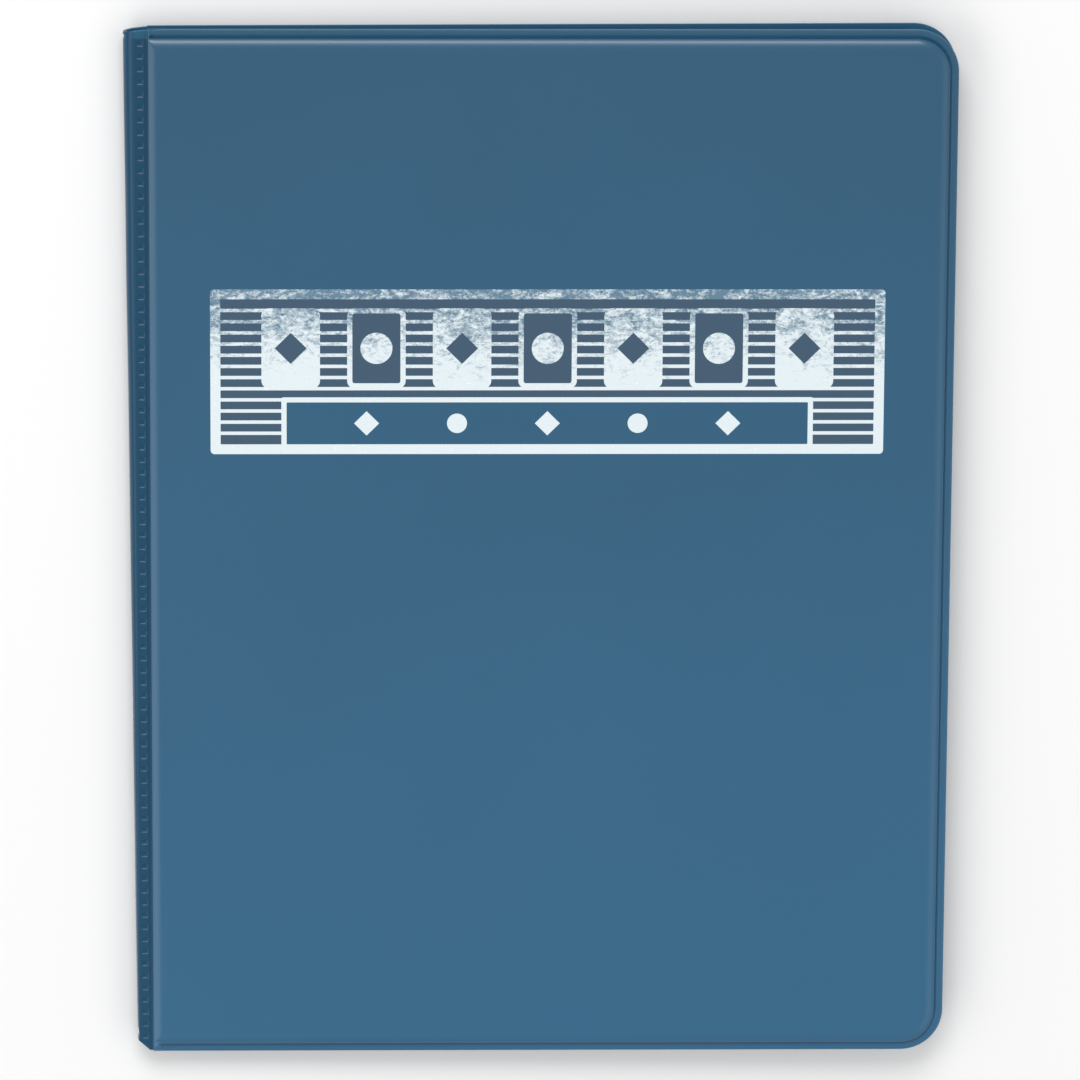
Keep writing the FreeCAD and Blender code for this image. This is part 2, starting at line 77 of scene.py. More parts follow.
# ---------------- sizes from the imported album


@dataclass(frozen=True)
class AlbumFrame:
    """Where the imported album's parts are, in metres."""

    fold_x: float
    fold_z: float
    tilt: float
    cover_start: float
    cover_end: float
    half_height: float
    cover_depth: float
    front_inner: float
    liner_gauge: float
    band_x: float
    band_width: float
    spine_radius: float
    binding_z: float

    @classmethod
    def from_cad(cls) -> "AlbumFrame":
        """Read the sizes off the CAD nodes and joints.

        Returns:
            The album's main sizes and places.
        """
        fold = next(joint["pos_m"] for joint in frame["joints"] if joint["name"] == "front_hinge")
        skin_low, skin_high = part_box("back_skin")
        liner_low, liner_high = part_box("back_liner")
        front_low, front_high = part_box("front_liner")
        spine_low, spine_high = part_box("spine_skin")
        gauge = liner_high.z - liner_low.z
        tilt = math.atan2(front_high.z - front_low.z - gauge, front_high.x - front_low.x)
        start = skin_low.x - fold[0]
        drop = (fold[2] + start * math.sin(tilt) - front_low.z) / math.cos(tilt)
        radius = (spine_high.z - spine_low.z) / 2
        return cls(
            fold_x=fold[0],
            fold_z=fold[2],
            tilt=tilt,
            cover_start=start,
            cover_end=skin_high.x - fold[0],
            half_height=skin_high.y,
            cover_depth=liner_high.z,
            front_inner=fold[2] - drop,
            liner_gauge=gauge,
            band_x=spine_low.x + radius - fold[0],
            band_width=spine_high.x - spine_low.x - radius,
            spine_radius=radius,
            binding_z=(spine_low.z + spine_high.z) / 2,
        )

    @property
    def spine_level(self) -> float:
        """Height of the spine's outer face over a cover's inner face."""
        return self.binding_z + self.spine_radius - self.front_inner

    @property
    def middle_level(self) -> float:
        """Height of the binding's middle over a cover's inner face, so below zero."""
        return self.binding_z - self.front_inner

    def turned(self, point: Vector, angle: float, below: float) -> Vector:
        """Turn a point, this far below the fold's axis, about that axis by an angle."""
        x = self.fold_x + point.x * math.cos(angle) + below * math.sin(angle)
        return Vector((x, point.y, self.fold_z + point.x * math.sin(angle) - below * math.cos(angle)))


class Side(Enum):
    """The two halves of the cover, each with its CAD body and its turn at the fold."""

    FRONT = "front"
    BACK = "back"

    @property
    def body(self) -> str:
        """The CAD body of this cover."""
        return f"{self.value}_cover"

    def place(self, album: AlbumFrame, point: Vector) -> Vector:
        """Put a point of the flat cover pattern where it lies on the shut album.

        Args:
            album: The album's sizes.
            point: Distance from the fold line, distance from the middle, height over the inner face.

        Returns:
            The point in the album's frame.
        """
        if self is Side.BACK:
            return Vector((album.fold_x + point.x, point.y, album.cover_depth - point.z))
        share = (point.x + album.cover_start) / (2 * album.cover_start)
        below = album.fold_z - album.front_inner - point.z
        return album.turned(point, album.tilt * smooth_step(share), below)

    def bend(self, piece: bpy.types.Object, album: AlbumFrame) -> None:
        """Bake a piece's placement into its mesh; it is not given a bend at the fold.

        Args:
            piece: The finished piece.
            album: The album's sizes; not used.
        """
        if self is Side.FRONT:
            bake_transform(piece)
        else:
            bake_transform(piece)


# ---------------- shader helpers


class Signal:
    """A shader socket that does sums: each operator adds the Math node that it needs."""

    def __init__(self, recipe: "Recipe", socket: bpy.types.NodeSocket) -> None:
        """Wrap one of a material's output sockets."""
        self.recipe = recipe
        self.socket = socket

    def _math(self, operation: str, first: Any, second: Any) -> "Signal":
        """Add one Math node, fed by numbers or signals."""
        return self.recipe.node("ShaderNodeMath", {"operation": operation}, {0: first, 1: second})

    def __add__(self, other: Any) -> "Signal":
        """Sum of two signals."""
        return self._math("ADD", self, other)

    __radd__ = __add__

    def __sub__(self, other: Any) -> "Signal":
        """Difference of two signals."""
        return self._math("SUBTRACT", self, other)

    def __rsub__(self, other: Any) -> "Signal":
        """Difference, with the number first."""
        return self._math("SUBTRACT", other, self)

    def __mul__(self, other: Any) -> "Signal":
        """Product of two signals."""
        return self._math("MULTIPLY", self, other)

    __rmul__ = __mul__

    def above(self, level: float) -> "Signal":
        """One where the signal is over a level, and zero elsewhere."""
        return self._math("GREATER_THAN", self, level)

    def within(self, low: float, high: float) -> "Signal":
        """One where the signal is between two levels, and zero elsewhere."""
        return self.above(low) * (1 - self.above(high))

    def power(self, exponent: float) -> "Signal":
        """The signal raised to a power."""
        return self._math("POWER", self, exponent)


class Recipe:
    """One procedural material: a Principled shader and the nodes that feed it."""

    def __init__(self, name: str) -> None:
        """Start a material with one Principled shader.

        Args:
            name: The material's name.
        """
        self.material = bpy.data.materials.new(name)
        self.material.use_nodes = True
        self.tree = self.material.node_tree
        self.shader = next(n for n in self.tree.nodes if n.type == "BSDF_PRINCIPLED")
        coordinates = self.tree.nodes.new("ShaderNodeTexCoord")
        self.place = Signal(self, coordinates.outputs["Object"])

    def node(self, kind: str, settings: dict[str, Any], inputs: dict[Any, Any], output: Any = 0) -> Signal:
        """Add a node.

        Args:
            kind: The node's type.
            settings: The node's own properties, set first.
            inputs: A value or a signal for each input socket, by name or number.
            output: The output to return, by name or number.

        Returns:
            The chosen output.
        """
        made = self.tree.nodes.new(kind)
        for key, value in settings.items():
            setattr(made, key, value)
        for key, value in inputs.items():
            if isinstance(value, Signal):
                self.tree.links.new(value.socket, made.inputs[key])
            else:
                made.inputs[key].default_value = value
        return Signal(self, made.outputs[output])

    def stretched(self, scale: Colour) -> Signal:
        """Object coordinates, with this many pattern repeats a millimetre along X, Y and Z."""
        factors = tuple(value / MM for value in scale)
        return self.node("ShaderNodeMapping", {}, {"Vector": self.place, "Scale": factors})

    def axis(self, name: str) -> Signal:
        """One of the object coordinates, X, Y or Z, in metres."""
        return self.node("ShaderNodeSeparateXYZ", {}, {0: self.place}, name)

    def ranged(self, value: Signal, low: float, high: float) -> Signal:
        """Stretch a signal so that low becomes 0 and high becomes 1, and clamp it."""
        return self.node("ShaderNodeMapRange", {}, {"Value": value, "From Min": low, "From Max": high})

    def noise(self, scale: Colour | float, detail: float = 2.0, rough: float = 0.5,
              warp: float = 0.0) -> Signal:
        """Soft random pattern between 0 and 1.

        Args:
            scale: Repeats for each millimetre, for all axes or one by one.
            detail: How many finer layers it has.
            rough: How strong the finer layers are.
            warp: How far the pattern is twisted.

        Returns:
            The pattern.
        """
        each = scale if isinstance(scale, tuple) else (scale, scale, scale)
        return self.node(
            "ShaderNodeTexNoise", {},
            {"Vector": self.stretched(each), "Scale": 1.0, "Detail": detail, "Roughness": rough,
             "Distortion": warp},
        )

    def blend(self, factor: Any, first: Colour | Signal, second: Colour) -> Signal:
        """Mix two linear colours, from the first where the factor is 0 to the second where it is 1."""
        start = first if isinstance(first, Signal) else (*first, 1.0)
        sockets = {"Factor": factor, 6: start, 7: (*second, 1.0)}
        return self.node("ShaderNodeMix", {"data_type": "RGBA"}, sockets, 2)

    def bump(self, height: Signal, depth: float) -> Signal:
        """Turn a pattern into a normal; where it goes from 0 to 1 it rises by depth millimetres."""
        return self.node("ShaderNodeBump", {}, {"Strength": 1.0, "Distance": depth * MM, "Height": height})

    def set(self, **values: Any) -> None:
        """Set or link the shader's sockets; an underscore in a name stands for a space."""
        for key, value in values.items():
            socket = self.shader.inputs[key.replace("_", " ")]
            if isinstance(value, Signal):
                self.tree.links.new(value.socket, socket)
            else:
                socket.default_value = value


# ---------------- finishes


@dataclass(frozen=True)
class VinylFinish:
    """Soft semi-gloss vinyl with a faint orange-peel, and a haze where the foil was stamped.

    The colours run from the head of the album to its tail, darker at the head and lighter at the tail, as painted
    shade and painted light; depths are in millimetres.
    """

    name: str
    # painted shade and light: darker colour at the head, lighter colour at the tail
    head_colour: Colour
    tail_colour: Colour
    roughness: float = 0.24
    gloss: float = 0.62
    peel_depth: float = 0.006
    grain_depth: float = 0.0025
    cloudiness: float = 0.14
    unevenness: float = 0.05
    stamped: bool = False
    haze_colour: Colour = (0.050, 0.078, 0.118)
    haze: float = 0.50
    haze_mottle: float = 0.3
    haze_inset: float = 1.5
    haze_depth: float = 0.5
    title_half_width: float = 76.5
    title_top: float = 16.8
    # painted light: an optional lit patch at the spine's head end, lifting the painted shade of the darker spine
    # colour there
    end_colour: Colour | None = None
    end_width: float = 2.9
    end_fade: tuple[float, float] = (-0.2, 0.3)
    end_across: tuple[float, float] = (1.6, 3.4)

    def stamp_mask(self, recipe: Recipe) -> Signal:
        """Mark the ground between the foil's lines.

        Args:
            recipe: The material being made.

        Returns:
            One on the stamped ground, zero elsewhere.
        """
        low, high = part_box("foil_stamp")
        inset = self.haze_inset * MM
        across, along = recipe.axis("X"), recipe.axis("Y")
        inside = across.within(low.x + inset, high.x - inset)
        inside = inside * along.within(low.y + inset, high.y - inset)
        middle, reach = (low.x + high.x) / 2, self.title_half_width * MM
        title = across.within(middle - reach, middle + reach)
        title = title * (1 - along.above(low.y + self.title_top * MM))
        return inside * (1 - title) * recipe.axis("Z").above(low.z - self.haze_depth * MM)

    def make(self) -> bpy.types.Material:
        """Build the material.

        Returns:
            The vinyl material.
        """
        recipe = Recipe(self.name)
        clouds = recipe.noise(0.011, detail=3.0, rough=0.55)
        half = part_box("front_skin")[1].y
        # painted shade and light: a gradient from the darker head colour to the lighter tail colour, mixed with
        # random clouds
        along = recipe.ranged(recipe.axis("Y"), half, -half)
        painted_gradient_and_clouds = along * (1 - self.cloudiness) + recipe.ranged(clouds, 0.3, 0.7) * self.cloudiness
        colour = recipe.blend(painted_gradient_and_clouds, self.head_colour, self.tail_colour)
        if self.stamped:
            mottle = recipe.noise(0.25, detail=2.0)
            haze = self.stamp_mask(recipe) * (self.haze + self.haze_mottle * mottle)
            colour = recipe.blend(haze, colour, self.haze_colour)
        # painted light: the spine's head end gets the lighter cover colour, where the rim lies flat over the spine
        # and takes full light
        if self.end_colour:
            end, left = half - self.end_width * MM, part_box("spine_skin")[0].x
            lit_head_patch = recipe.ranged(recipe.axis("Y"), *(end + fade * MM for fade in self.end_fade))
            across = recipe.ranged(recipe.axis("X"), *(left + place * MM for place in self.end_across))
            lit_head_patch = lit_head_patch * across
            colour = recipe.blend(lit_head_patch, colour, self.end_colour)
        peel = recipe.noise(0.42, detail=1.0)
        grain = recipe.noise(3.2, detail=2.0, rough=0.6)
        depth = self.peel_depth + self.grain_depth
        height = peel * (self.peel_depth / depth) + grain * (self.grain_depth / depth)
        recipe.set(
            Base_Color=colour,
            Roughness=self.roughness + self.unevenness * clouds + self.unevenness * grain,
            Normal=recipe.bump(height, depth),
            IOR=1.5,
            Specular_IOR_Level=self.gloss,
        )
        return recipe.material


@dataclass(frozen=True)
class FoilFinish:
    """Hot-stamped silver foil, crinkled by the vinyl under it, with its reflection painted into the colour: dim
    towards the head, bright towards the tail and at random crinkle specks.
    """

    name: str = "silver_foil"
    # painted reflection: near-white where the foil mirrors the lights, dimmer blue-grey where it does not
    bright: Colour = (0.86, 0.96, 1.0)
    dull: Colour = (0.25, 0.42, 0.57)
    roughness: float = 0.18
    crinkle_depth: float = 0.12
    scatter: float = 0.72

    def make(self) -> bpy.types.Material:
        """Build the material.

        Returns:
            The foil material.
        """
        recipe = Recipe(self.name)
        low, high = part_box("foil_stamp")
        folds = recipe.noise((0.16, 0.30, 0.3), detail=3.0, rough=0.62, warp=1.4)
        specks = recipe.noise((0.9, 1.3, 1.0), detail=3.0, rough=0.7, warp=0.8)
        drift = recipe.noise((0.02, 0.05, 0.05), detail=2.0)
        ridges = (1 - (folds * 2 - 1).power(2)).power(6)
        # painted reflection: dim at the head, bright towards the tail and at random crinkle specks; the bright
        # parts are made less metallic so that the painted colour shows
        down = recipe.ranged(recipe.axis("Y"), high.y, low.y)
        uneven = 0.4 * (drift - 0.5) + 1.5 * (folds - 0.5) + 1.4 * (specks - 0.5)
        painted_reflection = recipe.ranged(down + uneven * (1.15 - down), -0.10, 0.42)
        recipe.set(
            Base_Color=recipe.blend(painted_reflection, self.dull, self.bright),
            Metallic=1 - self.scatter * painted_reflection,
            Roughness=self.roughness + 0.16 * specks,
            Normal=recipe.bump(0.65 * ridges + 0.35 * specks, self.crinkle_depth),
        )
        return recipe.material


@dataclass(frozen=True)
class FilmFinish:
    """Clear polypropylene film; welds are the same film, pressed milky."""

    name: str
    colour: Colour
    opacity: float
    roughness: float

    def make(self) -> bpy.types.Material:
        """Build the material.

        Returns:
            The film material.
        """
        recipe = Recipe(self.name)
        haze = recipe.noise(0.03, detail=2.0)
        ripples = recipe.noise((0.02, 0.06, 0.06), detail=2.0, warp=0.5)
        recipe.set(
            Base_Color=recipe.blend(haze, tuple(0.93 * part for part in self.colour), self.colour),
            Roughness=self.roughness + 0.08 * haze,
            Alpha=self.opacity + 0.06 * haze,
            Normal=recipe.bump(ripples, 0.25),
            IOR=1.49,
        )
        return recipe.material


@dataclass(frozen=True)
class BoardFinish:
    """Greyboard: pressed paper with short dark and light fibres."""

    name: str = "greyboard"
    colour: Colour = (0.42, 0.39, 0.34)
    fibre: Colour = (0.26, 0.24, 0.21)

    def make(self) -> bpy.types.Material:
        """Build the material.

        Returns:
            The board material.
        """
        recipe = Recipe(self.name)
        fibres = recipe.noise((1.6, 0.5, 1.2), detail=4.0, rough=0.7, warp=1.0)
        recipe.set(
            Base_Color=recipe.blend(fibres, self.fibre, self.colour),
            Roughness=0.85 + 0.1 * fibres,
            Normal=recipe.bump(fibres, 0.05),
        )
        return recipe.material


@dataclass(frozen=True)
class FloorFinish:
    """Plain pale studio floor."""

    name: str = "studio_floor"
    colour: Colour = (0.93, 0.93, 0.93)

    def make(self) -> bpy.types.Material:
        """Build the material.

        Returns:
            The floor material.
        """
        recipe = Recipe(self.name)
        mottle = recipe.noise(0.004, detail=2.0)
        recipe.set(
            Base_Color=recipe.blend(mottle, tuple(0.985 * part for part in self.colour), self.colour),
            Roughness=0.9,
            Specular_IOR_Level=0.1,
        )
        return recipe.material


@dataclass(frozen=True)
class Finishes:
    """Every material of the album, made once."""

    vinyl: bpy.types.Material
    spine: bpy.types.Material
    liner: bpy.types.Material
    sheet: bpy.types.Material
    pocket: bpy.types.Material
    weld: bpy.types.Material
    foil: bpy.types.Material
    board: bpy.types.Material

    @classmethod
    def make(cls) -> "Finishes":
        """Build all materials.

        Returns:
            The album's materials.
        """
        return cls(
            # cover vinyl: its head-to-tail gradient is painted shade and painted light
            vinyl=VinylFinish("blue_vinyl", (0.0150, 0.086, 0.163), (0.019, 0.120, 0.235),
                              stamped=True).make(),
            # painted shade: the spine is a darker copy of the cover vinyl, standing in for the shade on its
            # side-facing bulge and recessed band
            spine=VinylFinish("spine_vinyl", (0.003, 0.056, 0.118), (0.006, 0.068, 0.134),
                              gloss=0.38, end_colour=(0.016, 0.094, 0.168)).make(),
            # painted light: the liner is lightened past the cover vinyl to stand in for light reaching the strip
            # between the covers, which lies in shade
            liner=VinylFinish("blue_liner_vinyl", (0.022, 0.122, 0.228), (0.023, 0.130, 0.246),
                              roughness=0.34).make(),
            sheet=FilmFinish("page_film", (0.86, 0.90, 0.93), 0.34, 0.22).make(),
            pocket=FilmFinish("pocket_film", (0.92, 0.95, 0.97), 0.16, 0.10).make(),
            weld=FilmFinish("weld_film", (0.88, 0.91, 0.94), 0.55, 0.35).make(),
            foil=FoilFinish().make(),
            board=BoardFinish().make(),
        )


# ---------------- mesh helpers


def finish_piece(bm: BMesh, name: str, materials: Iterable[bpy.types.Material],
                 sharp_degrees: float = 35.0) -> bpy.types.Object:
    """Turn a bmesh into a finished object at the origin.

    Args:
        bm: The shape, with its place in its vertices.
        name: The piece's name.
        materials: Its materials, in the order that its faces number them.
        sharp_degrees: Edges that turn by more than this stay sharp.

    Returns:
        The new object.
    """
    mesh = bpy.data.meshes.new(name)
    for face in bm.faces:
        face.smooth = True
    bm.to_mesh(mesh)
    bm.free()
    mesh.set_sharp_from_angle(angle=math.radians(sharp_degrees))
    for material in materials:
        mesh.materials.append(material)
    piece = bpy.data.objects.new(name, mesh)
    bpy.context.scene.collection.objects.link(piece)
    LOG.info("%s: %d faces", name, len(mesh.polygons))
    return piece


def outline_face(bm: BMesh, left: float, right: float, half_height: float, corner: float,
                 segments: int = 16) -> BMFace:
    """Draw a rectangle whose fore-edge corners are round.

    Args:
        bm: The bmesh to draw in.
        left: The fold side's distance from the fold line.
        right: The fore-edge's distance from the fold line.
        half_height: Half the height, head to tail.
        corner: Radius of the fore-edge corners.
        segments: Edges in each corner.

    Returns:
        The face, at height zero and facing up.
    """
    bmesh.ops.create_grid(bm, x_segments=1, y_segments=1, size=0.5)
    bmesh.ops.scale(bm, vec=(right - left, 2 * half_height, 1), verts=bm.verts)
    bmesh.ops.translate(bm, vec=((left + right) / 2, 0, 0), verts=bm.verts)
    corners = [vert for vert in bm.verts if vert.co.x > (left + right) / 2]
    bmesh.ops.bevel(bm, geom=corners, affect="VERTICES", offset=corner, offset_type="OFFSET",
                    segments=segments, profile=0.5, material=-1)
    face = bm.faces[:][0]
    face.normal_update()
    if face.normal.z < 0:
        face.normal_flip()
    return face


def draw_profile(bm: BMesh, face: BMFace,
                 steps: Iterable[tuple[float, float]]) -> None:
    """Step a face inwards and up, leaving a ring of faces at each step.

    Args:
        bm: The bmesh.
        face: The face that the profile starts from.
        steps: How far each step goes inwards and up, in millimetres.
    """
    for inward, rise in steps:
        bmesh.ops.inset_region(bm, faces=[face], use_boundary=True, use_even_offset=True,
                               thickness=inward * MM, depth=rise * MM)


def slice_at(bm: BMesh, axis: int, places: Iterable[float]) -> None:
    """Cut edges across a shape, so that it can bend there.

    Args:
        bm: The bmesh.
        axis: 0 to cut across X, 1 to cut across Y.
        places: Where to cut.
    """
    normal = [Vector((1, 0, 0)), Vector((0, 1, 0))][axis]
    for place in places:
        geometry = bm.verts[:] + bm.edges[:] + bm.faces[:]
        bmesh.ops.bisect_plane(bm, geom=geometry, plane_co=normal * place, plane_no=normal)


def keep_beyond(bm: BMesh, point: Vector, outwards: Vector) -> None:
    """Trim away everything on the outer side of a plane through a point."""
    geometry = bm.verts[:] + bm.edges[:] + bm.faces[:]
    bmesh.ops.bisect_plane(bm, geom=geometry, plane_co=point, plane_no=outwards, clear_outer=True)


def move_all(bm: BMesh, rule: Callable[[Vector], Vector]) -> None:
    """Move every vertex to where a rule puts it."""
    for vert in bm.verts:
        vert.co = rule(vert.co)


def thicken(bm: BMesh, gauge: float) -> None:
    """Give an open sheet its thickness in metres, inwards from the faces that are there."""
    bmesh.ops.solidify(bm, geom=bm.faces[:], thickness=gauge)


def steps_between(low: float, high: float, count: int) -> list[float]:
    """Evenly spaced places, both ends included."""
    return [low + (high - low) * index / (count - 1) for index in range(count)]


def hump(place: float, height: float, centre: float, width: float) -> float:
    """A smooth hump: full height at its centre, and next to nothing a few widths away."""
    return height * math.exp(-((place - centre) / width) ** 2)


def ripple(point: Vector, lengths: tuple[float, float], seed: float) -> float:
    """Smooth noise over a sheet, with a wave about as long as each length in millimetres."""
    return noise.noise(Vector((point.x / (lengths[0] * MM), point.y / (lengths[1] * MM), seed)))


# ---------------- covers


@dataclass
class AlbumPiece:
    """What every piece is made from: the album's sizes and its materials."""

    album: AlbumFrame
    finishes: Finishes


@dataclass
class CoverPanel(AlbumPiece):
    """Outer vinyl of one cover: welded rim, pressed groove and the padded panel over its board.

    Sizes are in millimetres.
    """

    side: Side
    rim_width: float = 1.75
    rim_round: float = 0.18
    rim_draft: float = 0.02
    rim_corner: Steps = ((0.3, 0.65), (0.6, 0.35))
    lip_width: float = 0.10
    lip_fall: float = 0.04
    groove_slope: float = 0.55
    groove_depth: float = 0.24
    groove_floor: float = 0.20
    floor_fall: float = 0.02
    wall_draft: float = 0.06
    panel_edge: float = 0.6
    corner_radius: float = 12.4
    skin_gauge: float = 0.5
    shoulder: tuple[tuple[float, float, float, int], ...] = (
        (84, 38, 0.7, 6), (38, 20, 3.1, 6), (20, 0, 7.0, 7),
    )
    overrun: float = 15.0
    fold_gap: float = 0.22
    wall_steps: Steps = ((0.05, 0.03), (0.08, 0.10), (0.05, 0.20), (0.04, 9.0))
    wall_foot: float = 0.12
    tail_reach: float = 2.9
    head_reach: float = 0.9
    reach_start: float = 0.4
    web_margin: float = 0.9
    web_height: float = 0.9
    web_round: float = 2.6
    fold_slant: float = 0.3
    slant_across: float = 5.0
    slant_along: float = 3.0
    crown_width: float = 3.0
    crown_radius: float = 6.6
    crown_cuts: tuple[float, float, int] = (0.3, 3.9, 10)

    def shoulder_steps(self) -> list[tuple[float, float]]:
        """The padded edge: arcs that turn from nearly upright to flat.

        Returns:
            The steps inwards and up.
        """
        steps = []
        for start, end, radius, count in self.shoulder:
            turned = [math.radians(angle) for angle in steps_between(start, end, count + 1)]
            for low, high in zip(turned, turned[1:]):
                steps.append((radius * (math.sin(low) - math.sin(high)),
                              radius * (math.cos(high) - math.cos(low))))
        return steps

    def profile(self, height: float) -> list[tuple[float, float]]:
        """The section from the rim's outer edge to the flat of the panel.

        Args:
            height: The panel's outer face over the skin's underside.

        Returns:
            The steps inwards and up.
        """
        edge = self.rim_round
        flat_rim = self.rim_width - edge - self.rim_draft - self.lip_width
        steps = [(self.rim_draft, self.skin_gauge - edge)]
        steps += [(edge * inward, edge * rise) for inward, rise in self.rim_corner]
        steps += [(flat_rim / 2, 0.0), (flat_rim / 2, 0.0), (self.lip_width, -self.lip_fall)]
        steps += [(self.groove_slope, self.lip_fall - self.groove_depth)]
        steps += [(self.groove_floor, -self.floor_fall)]
        shoulder = self.shoulder_steps()
        floor = self.skin_gauge - self.groove_depth - self.floor_fall
        wall = height - floor - sum(rise for _, rise in shoulder)
        return steps + [(self.wall_draft, wall)] + shoulder + [(self.panel_edge, 0.0)]

    @property
    def inset(self) -> float:
        """From the rim's outer edge to the foot of the panel's wall, in metres."""
        return (self.rim_width + self.groove_slope + self.groove_floor) * MM

    def shape_fold_side(self, point: Vector) -> Vector:
        """Roll the panel down towards the fold, and let it run out over the rim at the tail.

        Args:
            point: A point of the flat pattern.

        Returns:
            The point at its new height.
        """
        album = self.album
        top = album.cover_depth - album.liner_gauge
        out = point.x - album.cover_start
        rolled = top - max(0.0, self.crown_width * MM - out) ** 2 / (2 * self.crown_radius * MM)
        height = min(point.z, rolled)
        reach = (self.tail_reach if point.y < 0 else self.head_reach) * MM
        near = 1 - smooth_step((out - self.reach_start * reach) / reach)
        web = self.inset + self.web_margin * MM
        share = min(1.0, (abs(point.y) - album.half_height + web) / web)
        if share > 0:
            arch = math.sqrt(max(0.0, 1 - share ** self.web_round))
            curve = rolled * self.web_height * arch + self.skin_gauge * MM * share / 2
            height = max(height, height + near * (curve - height))
        slant = self.fold_slant * MM * (1 - smooth_step(out / (self.slant_across * MM)))
        near_head = smooth_step(1 - (album.half_height - point.y) / (self.slant_along * MM))
        return Vector((point.x, point.y - slant * near_head, height))

    def drop_wall(self, bm: BMesh, left: float) -> None:
        """Close the panel's fold side with a wall, whose last step falls all the way to its foot.

        Args:
            bm: The bmesh in the flat pattern.
            left: Where the panel was cut off.
        """
        rim = [edge for edge in bm.edges
               if edge.is_boundary and all(abs(vert.co.x - left) < 0.001 * MM for vert in edge.verts)]
        for step, fall in self.wall_steps:
            made = bmesh.ops.extrude_edge_only(bm, edges=rim)["geom"]
            rim = [item for item in made if isinstance(item, bmesh.types.BMEdge)]
            for vert in {vert for edge in rim for vert in edge.verts}:
                vert.co.x -= step * MM
                vert.co.z = max(vert.co.z - fall * MM, self.wall_foot * MM)

    def build(self) -> None:
        """Model the skin of this cover."""
        album = self.album
        bm = bmesh.new()
        face = outline_face(bm, album.cover_start - self.overrun * MM, album.cover_end,
                            album.half_height, self.corner_radius * MM)
        height = (album.cover_depth - album.liner_gauge) / MM
        draw_profile(bm, face, self.profile(height))
        left = album.cover_start + self.fold_gap * MM
        keep_beyond(bm, Vector((left, 0, 0)), Vector((-1, 0, 0)))
        slice_at(bm, 0, [album.cover_start + reach * MM for reach in steps_between(*self.crown_cuts)])
        move_all(bm, self.shape_fold_side)
        self.drop_wall(bm, left)
        thicken(bm, self.skin_gauge * MM)
        lift = Vector((0, 0, album.liner_gauge))
        move_all(bm, lambda point: self.side.place(album, point + lift))
        if self.side is Side.BACK:
            bmesh.ops.reverse_faces(bm, faces=bm.faces)
        piece = finish_piece(bm, f"{self.side.value}_cover_panel", [self.finishes.vinyl],
                             sharp_degrees=50)
        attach(piece, self.side.body)
        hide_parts(f"{self.side.value}_skin")


@dataclass
class CoverLiner(AlbumPiece):
    """Inner vinyl of one cover, with the weld pressed into it along the rim.

    Sizes are in millimetres.
    """

    side: Side
    weld_inset: float = 1.7
    weld_width: float = 1.3
    weld_depth: float = 0.08
    weld_slope: float = 0.15
    edge_draft: float = 0.02
    edge_round: float = 0.08
    flat_steps: tuple[float, ...] = (0.4, 1.6)
    corner_radius: float = 12.4
    overrun: float = 3.0
    fold_gap: float = 0.01

    def build(self) -> None:
        """Model the liner of this cover."""
        album = self.album
        bm = bmesh.new()
        face = outline_face(bm, album.cover_start - self.overrun * MM, album.cover_end,
                            album.half_height, self.corner_radius * MM)
        edge, half = self.edge_round, self.weld_width / 2
        draw_profile(bm, face, [
            (self.edge_draft, album.liner_gauge / MM - edge), (edge, edge),
            (self.weld_inset - self.edge_draft - edge, 0.0), (self.weld_slope, -self.weld_depth),
            (half, 0.0), (half, 0.0), (self.weld_slope, self.weld_depth),
            *((step, 0.0) for step in self.flat_steps),
        ])
        keep_beyond(bm, Vector((album.cover_start + self.fold_gap * MM, 0, 0)), Vector((-1, 0, 0)))
        rims = [edge for edge in bm.edges if edge.is_boundary]
        bmesh.ops.holes_fill(bm, edges=rims, sides=0)
        top = Vector((0, 0, album.liner_gauge))
        move_all(bm, lambda point: self.side.place(album, Vector((point.x, point.y, top.z - point.z))))
        bmesh.ops.recalc_face_normals(bm, faces=bm.faces)
        piece = finish_piece(bm, f"{self.side.value}_liner_panel", [self.finishes.liner])
        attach(piece, self.side.body)
        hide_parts(f"{self.side.value}_liner")


# ---------------- spine


